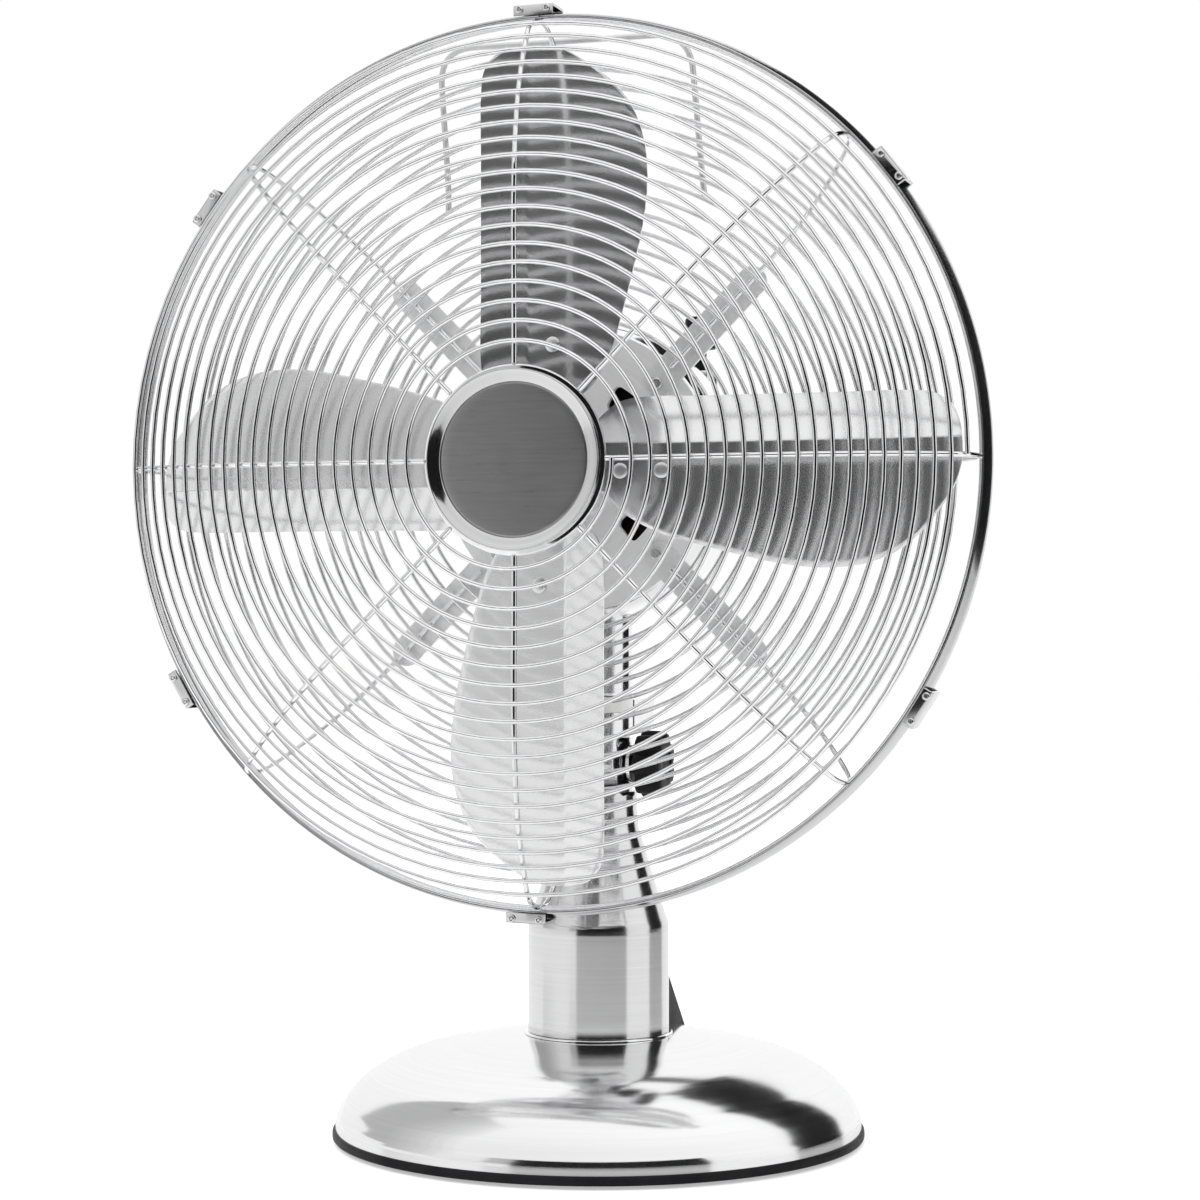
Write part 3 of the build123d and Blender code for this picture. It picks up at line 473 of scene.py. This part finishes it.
# clips: a sheet folded over the rim, with two screw heads on the front
OUTSIDE = rounded([(188.7, -69.5, 0), (193.15, -69.5, 0), (193.15, -84.5, 0), (188.7, -84.5, 0)], 1.6, 5)
INSIDE = rounded([(188.7, -70.7, 0), (191.9, -70.7, 0), (191.9, -83.3, 0), (188.7, -83.3, 0)], 0.7, 5)


def clip(angle):
    """folded sheet at that angle round the rim, with its two ends eased"""
    outline = [(p.x, p.y) for p in OUTSIDE] + [(p.x, p.y) for p in reversed(INSIDE)]
    count, half = len(outline), len(OUTSIDE)
    cx = sum(p[0] for p in outline) / count
    cy = sum(p[1] for p in outline) / count
    rows = [(-8.7, 0.35), (-8.45, 0.08), (-8.0, 0.0), (0, 0.0), (8.0, 0.0), (8.45, 0.08), (8.7, 0.35)]
    verts, faces = [], []
    for t, shrink in rows:
        for i, (r, y) in enumerate(outline):
            k = 1 - shrink * (1 if i < half else -1) / 8
            verts.append(turn_head((cx + (r - cx) * k, cy + (y - cy) * k, t), angle))
    for i in range(len(rows) - 1):
        for k in range(count):
            m = (k + 1) % count
            faces.append((i * count + k, (i + 1) * count + k, (i + 1) * count + m, i * count + m))
    for base, flip in ((0, False), ((len(rows) - 1) * count, True)):
        for k in range(half - 1):
            quad = (base + k, base + k + 1, base + count - 2 - k, base + count - 1 - k)
            faces.append(quad[::-1] if flip else quad)
    return verts, faces


def clip_screws(angle):
    """two domed screw heads with a dimple, on the front of the clip at that angle"""
    head = [(0.0, -85.1), (0.55, -85.1), (0.75, -85.35), (0.95, -85.6), (1.3, -85.55), (1.62, -85.25),
            (1.7, -84.9), (1.7, -84.4)]
    groups = []
    for off in (-6.0, 6.0):
        v, f = lathe(head, "Y", segs=20)
        groups.append(([turn_head((191.2 + x, y, off + z - HUB_Z), angle) for x, y, z in v], f))
    return groups


CLIP_ANGLES = (90.5, 38, -32, -91.5, -149.8, 143.2)
clip_groups = [clip(angle) for angle in CLIP_ANGLES]
screw_groups = [group for angle in CLIP_ANGLES for group in clip_screws(angle)]
piece("rim_clip_set", *joined(clip_groups), "rim_steel", "head", ["rim_clips"], sharp=45)
piece("rim_clip_screws", *joined(screw_groups), "zinc_screws", "head", ["clip_rivets"], merge=0.01)

# centre of the front guard
plate = [(0, -110.6), (38.6, -110.6), (39.2, -110.75), (39.45, -111.2), (39.45, -112.0), (39.2, -112.45),
         (38.6, -112.6), (0, -112.6)]
piece("guard_boss_plate", *lathe(plate, "Y", segs=192), "guard_chrome", "head", ["guard_centre_plate"],
      merge=0.01)
ring = [(31.9, -112.62), (37.1, -112.62), (37.36, -112.9), (37.4, -113.6), (37.4, -115.1), (37.32, -115.6),
        (37.12, -115.84), (36.85, -115.88), (36.6, -115.72), (36.2, -115.52), (34.3, -114.78),
        (32.4, -114.15), (32.08, -113.98), (31.95, -113.5)]
piece("badge_bezel", *lathe(ring, "Y", segs=192, closed=True), "badge_chrome", "head", ["badge_ring"],
      sharp=50)
disc = [(0, -113.42)] + [(r, -113.42 - 0.05 * (1 - (r / 32) ** 2)) for r in (4, 8, 12, 16, 20, 24, 28, 31)]
disc += [(31.7, -113.38), (31.95, -113.2), (31.95, -112.65), (0, -112.65)]
piece("badge_disc", *lathe(disc, "Y", segs=192), "badge_brushed", "head", ["badge_plate"], merge=0.01)

# ================= blades =================
EDGE_LEFT = smooth_through([(-10, 15, 0), (-21, 27, 0), (-25.6, 34, 0), (-27.4, 44, 0), (-27.4, 70, 0),
                            (-27.4, 100, 0), (-27.4, 130, 0), (-27.4, 157, 0), (-26.2, 167.5, 0),
                            (-21.5, 174.4, 0), (-13, 177.4, 0), (0, 178, 0)], 12)
EDGE_RIGHT = smooth_through([(10, 15, 0), (12.5, 25.5, 0), (20.5, 33.7, 0), (28.3, 47.5, 0), (34, 66, 0),
                             (38.6, 84, 0), (42.6, 103, 0), (44.2, 120, 0), (43, 135, 0), (38.6, 148.5, 0),
                             (31, 159.6, 0), (21, 168.0, 0), (11, 174.6, 0), (0, 178, 0)], 12)


def edge_at(edge, v):
    """u of an outline edge at blade height v"""
    for a, b in zip(edge, edge[1:]):
        if a.y <= v <= b.y and b.y > a.y:
            return a.x + (b.x - a.x) * (v - a.y) / (b.y - a.y)
    return edge[-1].x if v >= edge[-1].y else edge[0].x


def blade_depth(u):
    """Y of the sheet's middle at u: forward flange, sharp fold, flat, then a slow curve backward"""
    fold, soft = -8.5, 0.9
    slope = 6.05 / 21.5
    if u < fold - soft:
        return ROTOR_Y - (fold - u) * slope
    lean = 0.034 * (u - fold)
    if u < fold + soft:
        t = (u - fold + soft) / (2 * soft)
        return ROTOR_Y - slope * soft * (1 - t) ** 2 + max(lean, 0.0)
    if u < 14:
        return ROTOR_Y + lean
    t = min((u - 14) / 33.0, 1.0)
    return ROTOR_Y + 0.765 + 2.2 * t * (0.5 + 0.8 * t - 0.3 * t * t)


def blade_mesh():
    """one sheet blade standing up from the hub: two skins and the strip round their edge"""
    rows = [15 + (178 - 15) * (0.5 - 0.5 * cos(pi * (0.06 + 0.94 * i / 84))) for i in range(85)]
    rows[0] = 15.0
    rows[-1] = 177.97
    left_n, right_n = 10, 30
    verts, faces = [], []
    sheets = {}
    for side in (-1, 1):
        for i, v in enumerate(rows):
            lo, hi = edge_at(EDGE_LEFT, v), edge_at(EDGE_RIGHT, v)
            fold = min(max(-8.5, lo), hi)
            stops = [fold - 0.9, fold - 0.45, fold, fold + 0.45, fold + 0.9]
            reach = max(stops[0] - lo, 0.0)
            us = [lo + reach * k / left_n for k in range(left_n)]
            us += [min(max(s, lo), hi) for s in stops]
            start = us[-1]
            us += [start + (hi - start) * (k + 1) / right_n for k in range(right_n)]
            for k, u in enumerate(us):
                rim = min(u - lo, hi - u)
                inset = 0.12 if rim < 1e-6 or i in (0, len(rows) - 1) else 0.0
                du = inset if u - lo < 1e-6 else (-inset if hi - u < 1e-6 else 0.0)
                sheets[side, i, k] = len(verts)
                verts.append((u + du, blade_depth(u) + side * (SHEET / 2 - inset), v))
    cols = left_n + 5 + right_n
    for side in (-1, 1):
        for i in range(len(rows) - 1):
            for k in range(cols - 1):
                corners = ((i, k), (i, k + 1), (i + 1, k + 1), (i + 1, k))
                quad = tuple(sheets[side, a, b] for a, b in corners)
                faces.append(quad if side < 0 else quad[::-1])
    top = len(rows) - 1
    loop = [(0, k) for k in range(cols)] + [(i, cols - 1) for i in range(1, top + 1)]
    loop += [(top, k) for k in range(cols - 2, -1, -1)] + [(i, 0) for i in range(top - 1, 0, -1)]
    for (i, k), (j, m) in zip(loop, loop[1:] + loop[:1]):
        faces.append((sheets[-1, j, m], sheets[-1, i, k], sheets[1, i, k], sheets[1, j, m]))
    return verts, faces


blade_verts, blade_faces = blade_mesh()
for k in range(4):
    blade = piece(f"fan_blade_{k + 1}", blade_verts, blade_faces, "blade_aluminium", "rotor",
                  merge=0.004, sharp=50)
    blade.parent = None
    blade.matrix_world = Matrix.Translation(HUB) @ Matrix.Rotation(radians(90 * k), 4, "Y")
    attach(blade, "rotor")
    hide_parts(f"blade_{k + 1}")

rivet_groups = []
for k in range(4):
    for r in (33, 51):
        head = [(0, -73.2), (1.2, -73.18), (2.2, -73.1), (2.9, -72.96), (3.25, -72.75), (3.3, -72.6),
                (0, -72.6)]
        tail = [(0, -68.65), (1.6, -68.75), (2.4, -69.1), (2.6, -69.6), (0, -69.6)]
        for prof in (head, tail):
            v, f = lathe(prof, "Y", segs=32)
            if prof is tail:
                f = [tuple(reversed(q)) for q in f]
            rivet_groups.append(([turn_head((x + 3, y, z - HUB_Z + r), -90 * k) for x, y, z in v], f))
piece("blade_rivet_heads", *joined(rivet_groups), "rivet_aluminium", "rotor", ["blade_rivets"], merge=0.01)

# ================= motor =================
shell = smooth_through([(61.8, -28.6, 0), (64.6, -21, 0), (65.5, -10, 0), (62.5, 20, 0), (56.8, 50, 0),
                        (50, 76, 0), (44, 89.5, 0), (33, 101, 0), (17, 108.5, 0), (0, 110.5, 0)], 10)
shell = [(p.x, p.y) for p in shell[1:-1]] + [(0, 110.48)]
shell = [(60.2, -27.2), (60.35, -28.3), (60.7, -28.58), (61.3, -28.58)] + shell
piece("motor_shell", *lathe(shell, "Y", segs=192), "chrome_housing", "head", ["motor_housing"], merge=0.01)
boss = [(3.1, 340.5), (3.1, 348.0), (3.4, 348.5), (7.6, 348.5), (8.3, 348.2), (8.5, 347.4), (8.5, 338),
        (9.2, 333), (11.5, 326)]
piece("knob_boss", *lathe(boss, "Z", (25, 79), 64), "chrome_housing", "head", sharp=50)

# ================= tilt clamp knob =================

def lobed(profile, lobes, segs=168):
    """turned and fluted shape round the tilt axis; profile of (radius, x, flute depth)"""
    verts, faces = [], []
    for r, x, deep in profile:
        for k in range(segs):
            a = 2 * pi * k / segs
            wave = 0.5 + 0.5 * cos(lobes * a)
            rr = r - deep * wave ** 2.2
            verts.append((x, rr * cos(a), TILT_Z + rr * sin(a)))
    for i in range(len(profile) - 1):
        for k in range(segs):
            m = (k + 1) % segs
            faces.append((i * segs + k, i * segs + m, (i + 1) * segs + m, (i + 1) * segs + k))
    return verts, faces


knob = [(4.0, 18.25, 0), (7.2, 18.25, 0), (7.4, 18.45, 0), (7.4, 19.6, 0), (13.6, 19.85, 2.6),
        (14.5, 20.2, 2.8), (14.9, 20.9, 3.0), (14.95, 25.0, 3.0), (14.8, 29.0, 3.0), (14.4, 30.6, 2.9),
        (13.6, 31.6, 2.6), (12.4, 31.95, 2.0), (9.0, 31.95, 0.4), (7.2, 31.95, 0), (6.9, 31.8, 0),
        (6.8, 31.3, 0), (0.0, 31.25, 0)]
bolt = [(0.0, -19.35, 0), (5.8, -19.35, 0), (6.4, -19.1, 0), (6.6, -18.6, 0), (6.6, -17.25, 0),
        (4.0, -17.25, 0), (4.0, 18.25, 0)]
piece("tilt_knob_body", *joined([lobed(knob, 7), lobed(bolt, 7, 96)]), "black_plastic", "tilt_clamp_knob",
      ["tilt_knob"], merge=0.01, sharp=42)

# ================= handle =================
loop = rounded([(-59.0, -33.64, 412.0), (-58.3, -35.5, 422.5), (-57, -50, 480.5), (57, -50, 480.5),
                (58.3, -35.5, 422.5), (59.0, -33.64, 412.0)], [0, 6, 16, 16, 6, 0], 14)
piece("carry_loop", *tube(loop, 1.3, 16), "guard_chrome", "head", ["carry_handle"], finish=HANDLE_FINISH)

# ================= base and column =================
dome = smooth_through([(117.2, 5.5, 0), (117.0, 9.2, 0), (116.6, 10.8, 0), (115.8, 12.6, 0), (112.5, 19, 0),
                       (105, 27, 0), (95, 33.4, 0), (80, 39.2, 0), (60, 43.2, 0), (45, 45.4, 0),
                       (33, 46.5, 0)], 10)
dome = [(115.9, 5.52), (116.6, 5.52)] + [(p.x, p.y) for p in dome] + [(20, 46.5), (6, 46.5)]
piece("base_dome", *lathe(dome, "Z", segs=256), "brushed_base", "base", ["base_shell"])
trim = [(112.5, 1.52), (117.6, 1.52), (118.1, 1.7), (118.4, 2.1), (118.5, 2.7), (118.5, 4.2), (118.35, 4.9),
        (118.0, 5.3), (117.5, 5.48), (114.5, 5.48), (114.5, 3.6), (112.5, 3.6)]
piece("base_trim", *lathe(trim, "Z", segs=256, closed=True), "black_plastic", "base", ["base_trim_ring"],
      sharp=45)
foot = [(28.5, 46.52), (32.9, 46.52), (33.15, 46.65), (33.2, 46.9), (33.15, 47.2), (32.9, 47.42),
        (32.5, 47.48), (28.5, 47.48)]
piece("column_collar", *lathe(foot, "Z", segs=160, closed=True), "polished_ring", "base",
      ["column_foot_ring"], sharp=50)
taper = smooth_through([(31.5, 84, 0), (31.5, 91, 0), (31.46, 93.6, 0), (31.15, 96.6, 0), (29.9, 100.2, 0),
                        (25.2, 114.6, 0), (20.6, 130.2, 0), (18.1, 139, 0), (17.3, 147, 0)], 12)
taper = [(p.x, p.y) for p in taper]
foot_end = [(30.2, 47.52), (31.2, 47.52), (31.45, 47.7), (31.5, 48.1), (31.5, 55), (31.5, 70), (31.5, 80)]
mouth = [(17.3, 152), (17.3, 154.2), (17.1, 154.6), (16.7, 154.8), (15.9, 154.8), (15.9, 150)]
piece("column_bottle", *lathe(foot_end + taper + mouth, "Z", segs=192), "brushed_column", "base",
      ["column_shell"])
tube_up = [(5.05, 197.35), (14.5, 197.35), (14.9, 197.5), (15.08, 197.9), (15.1, 198.6), (15.1, 210),
           (15.1, 222), (15.1, 232.5)]
piece("neck_sleeve", *lathe(tube_up, "Z", segs=128), "brushed_neck", "head", ["neck_tube"])
bush = [(5.1, 189.75), (14.9, 189.75), (15.3, 190.0), (15.4, 190.5), (15.4, 196.0), (15.2, 196.6),
        (14.7, 196.88), (5.1, 196.88)]
piece("swivel_bush", *lathe(bush, "Z", segs=128, closed=True), "white_bush", "tilt_neck", ["swivel_ring"],
      sharp=45)

# ================= stage =================
scene = bpy.context.scene
scene.view_settings.view_transform = "Standard"
scene.view_settings.look = "None"
scene.view_settings.exposure = 0.0
scene.view_settings.gamma = 1.0


def glow(name, value):
    """plain emission, which is what a flag or wall shows in the polished parts"""
    m = bpy.data.materials.new(name)
    m.use_nodes = True
    tree = m.node_tree
    tree.nodes.clear()
    out = tree.nodes.new("ShaderNodeOutputMaterial")
    em = tree.nodes.new("ShaderNodeEmission")
    em.inputs["Color"].default_value = (value, value, value, 1)
    tree.links.new(em.outputs[0], out.inputs[0])
    return m


def stage_piece(name, verts, faces, material):
    """mesh in metres that belongs to the studio, not to the fan"""
    mesh = bpy.data.meshes.new(name)
    mesh.from_pydata(verts, [], faces)
    mesh.materials.append(material)
    obj = bpy.data.objects.new(name, mesh)
    scene.collection.objects.link(obj)
    return obj


def only_reflections(obj):
    """only the glossy reflections show it, and it neither lights nor shades"""
    obj.visible_camera = False
    obj.visible_diffuse = False
    obj.visible_shadow = False
    obj.visible_transmission = False


def screen(name, rows, dist, value):
    """curved flag or wall standing round the fan, seen only in reflections; rows of (height, azimuths)"""
    n = 24
    verts, faces = [], []
    for z, az0, az1 in rows:
        for i in range(n + 1):
            a = radians(az0 + (az1 - az0) * i / n)
            verts.append((dist * sin(a), -dist * cos(a), z))
    for j in range(len(rows) - 1):
        for i in range(n):
            k = j * (n + 1) + i
            faces.append((k, k + 1, k + n + 2, k + n + 1))
    only_reflections(stage_piece(name, verts, faces, glow(name, value)))


FLOOR_HALF = 6.0


def floor_sheet(name, z, level, scale):
    """pale square sheet at height z with a faint mottle; gives its object and its shader"""
    material, tree, bsdf = new_material("studio_" + name)
    vector, _ = object_xyz(tree)
    mottle = tint(tree, noise(tree, vector, scale, 2.0), grey(level - 0.01, 0), grey(level + 0.01, 0))
    tree.links.new(mottle, bsdf.inputs["Base Color"])
    h = FLOOR_HALF
    corners = [(-h, -h, z), (h, -h, z), (h, h, z), (-h, h, z)]
    return stage_piece(name, corners, [(0, 1, 2, 3)], material), bsdf


_, bsdf = floor_sheet("floor", 0, 0.91, 3.0)
bsdf.inputs["Roughness"].default_value = 0.16
bsdf.inputs["Specular IOR Level"].default_value = 0.28
bsdf.inputs["Emission Color"].default_value = (1, 1, 1, 1)
bsdf.inputs["Emission Strength"].default_value = 0.32

# the acrylic floor as the polished parts see it
gloss, bsdf = floor_sheet("floor_gloss", 0.0006, 0.85, 2.0)
bsdf.inputs["Roughness"].default_value = 0.06
bsdf.inputs["IOR"].default_value = 1.5
only_reflections(gloss)

# black flags in front, at the right and behind, and softer ones beside them
FLAG_D = 1.5
screen("flag_front", [(0.004, -18, 64), (0.86, -18, 64)], FLAG_D, 0.010)
screen("flag_soft", [(0.13, -30, -18), (0.86, -30, -18)], FLAG_D, 0.55)
screen("flag_right", [(0.008, 108, 143), (0.60, 111, 148), (1.30, 120, 154), (2.46, 131, 160)], FLAG_D, 0.010)
screen("flag_bar", [(1.14, 150, 181), (1.74, 143, 181), (2.60, 147, 170)], FLAG_D, 0.015)
screen("flag_tail", [(1.36, 181, 206), (1.62, 181, 206)], FLAG_D, 0.10)
screen("flag_bar_end", [(1.76, 170, 179), (2.45, 171, 179)], FLAG_D, 0.22)
# a grey wall on the left that fades into the white room towards the front, in strips
WALL_STRIPS = [(-112, -84, 0.52), (-84, -78, 0.56), (-78, -72, 0.61), (-72, -66, 0.67), (-66, -60, 0.74),
               (-60, -54, 0.82), (-54, -48, 0.91)]
for k, (az0, az1, value) in enumerate(WALL_STRIPS):
    foot_z = 0.33 if k == 0 else 0.12
    screen(f"wall_left_{k}", [(foot_z, az0, az1), (2.9, az0 - 6, az1 - 6)], FLAG_D, value)

# white room for the reflections: brighter above and behind, dimmer to the left and in front
world = bpy.data.worlds.new("studio")
scene.world = world
world.use_nodes = True
tree = world.node_tree
tree.nodes.clear()
out = tree.nodes.new("ShaderNodeOutputWorld")
tc = tree.nodes.new("ShaderNodeTexCoord")
sep = tree.nodes.new("ShaderNodeSeparateXYZ")
tree.links.new(tc.outputs["Generated"], sep.inputs[0])
height = spread(tree, sep.outputs[2], 1.00, 1.12, 0.0, 0.9)
side = spread(tree, sep.outputs[0], 0.93, 1.0, -1.0, 0.4)
behind = spread(tree, sep.outputs[1], 0.93, 1.06, -0.9, 0.3)
level = math_node(tree, "MULTIPLY", math_node(tree, "MULTIPLY", height, side), behind)
surround = tree.nodes.new("ShaderNodeBackground")
surround.inputs["Color"].default_value = (1, 1, 1, 1)
tree.links.new(level, surround.inputs["Strength"])
# the camera itself sees plain white
plain = tree.nodes.new("ShaderNodeBackground")
plain.inputs["Color"].default_value = (1, 1, 1, 1)
plain.inputs["Strength"].default_value = 1.0
path_node = tree.nodes.new("ShaderNodeLightPath")
mix = tree.nodes.new("ShaderNodeMixShader")
tree.links.new(path_node.outputs["Is Camera Ray"], mix.inputs[0])
tree.links.new(surround.outputs[0], mix.inputs[1])
tree.links.new(plain.outputs[0], mix.inputs[2])
tree.links.new(mix.outputs[0], out.inputs[0])


def softbox(name, place, target, size, power):
    """rectangular soft light that the polished parts don't mirror"""
    light = bpy.data.lights.new(name, "AREA")
    light.shape = "RECTANGLE"
    light.size, light.size_y = size
    light.energy = power
    obj = bpy.data.objects.new(name, light)
    scene.collection.objects.link(obj)
    obj.visible_glossy = False
    obj.location = place
    obj.rotation_euler = (Vector(target) - Vector(place)).to_track_quat("-Z", "Y").to_euler()


softbox("overhead", (-0.3, -0.5, 2.2), (0, 0, 0.2), (1.8, 1.8), 14.0)
softbox("key_left", (-1.6, -1.2, 1.3), (0, 0, 0.25), (1.0, 1.4), 7.0)

# camera at the photograph's viewpoint
CAMERA_AZ = radians(17.955)
CAMERA_DIST = 1.2373
CAMERA_Z = 0.22984
CAMERA_PITCH = radians(0.4663)
SENSOR = 36.0
cam_data = bpy.data.cameras.new("camera")
cam_data.sensor_width = SENSOR
cam_data.lens = 2.30139 * SENSOR
cam_data.shift_x = 0.00125
cam_data.clip_start = 0.05
camera = bpy.data.objects.new("camera", cam_data)
scene.collection.objects.link(camera)
camera.location = (CAMERA_DIST * sin(CAMERA_AZ), -CAMERA_DIST * cos(CAMERA_AZ), CAMERA_Z)
camera.rotation_euler = (radians(90) + CAMERA_PITCH, 0, CAMERA_AZ)
scene.camera = camera
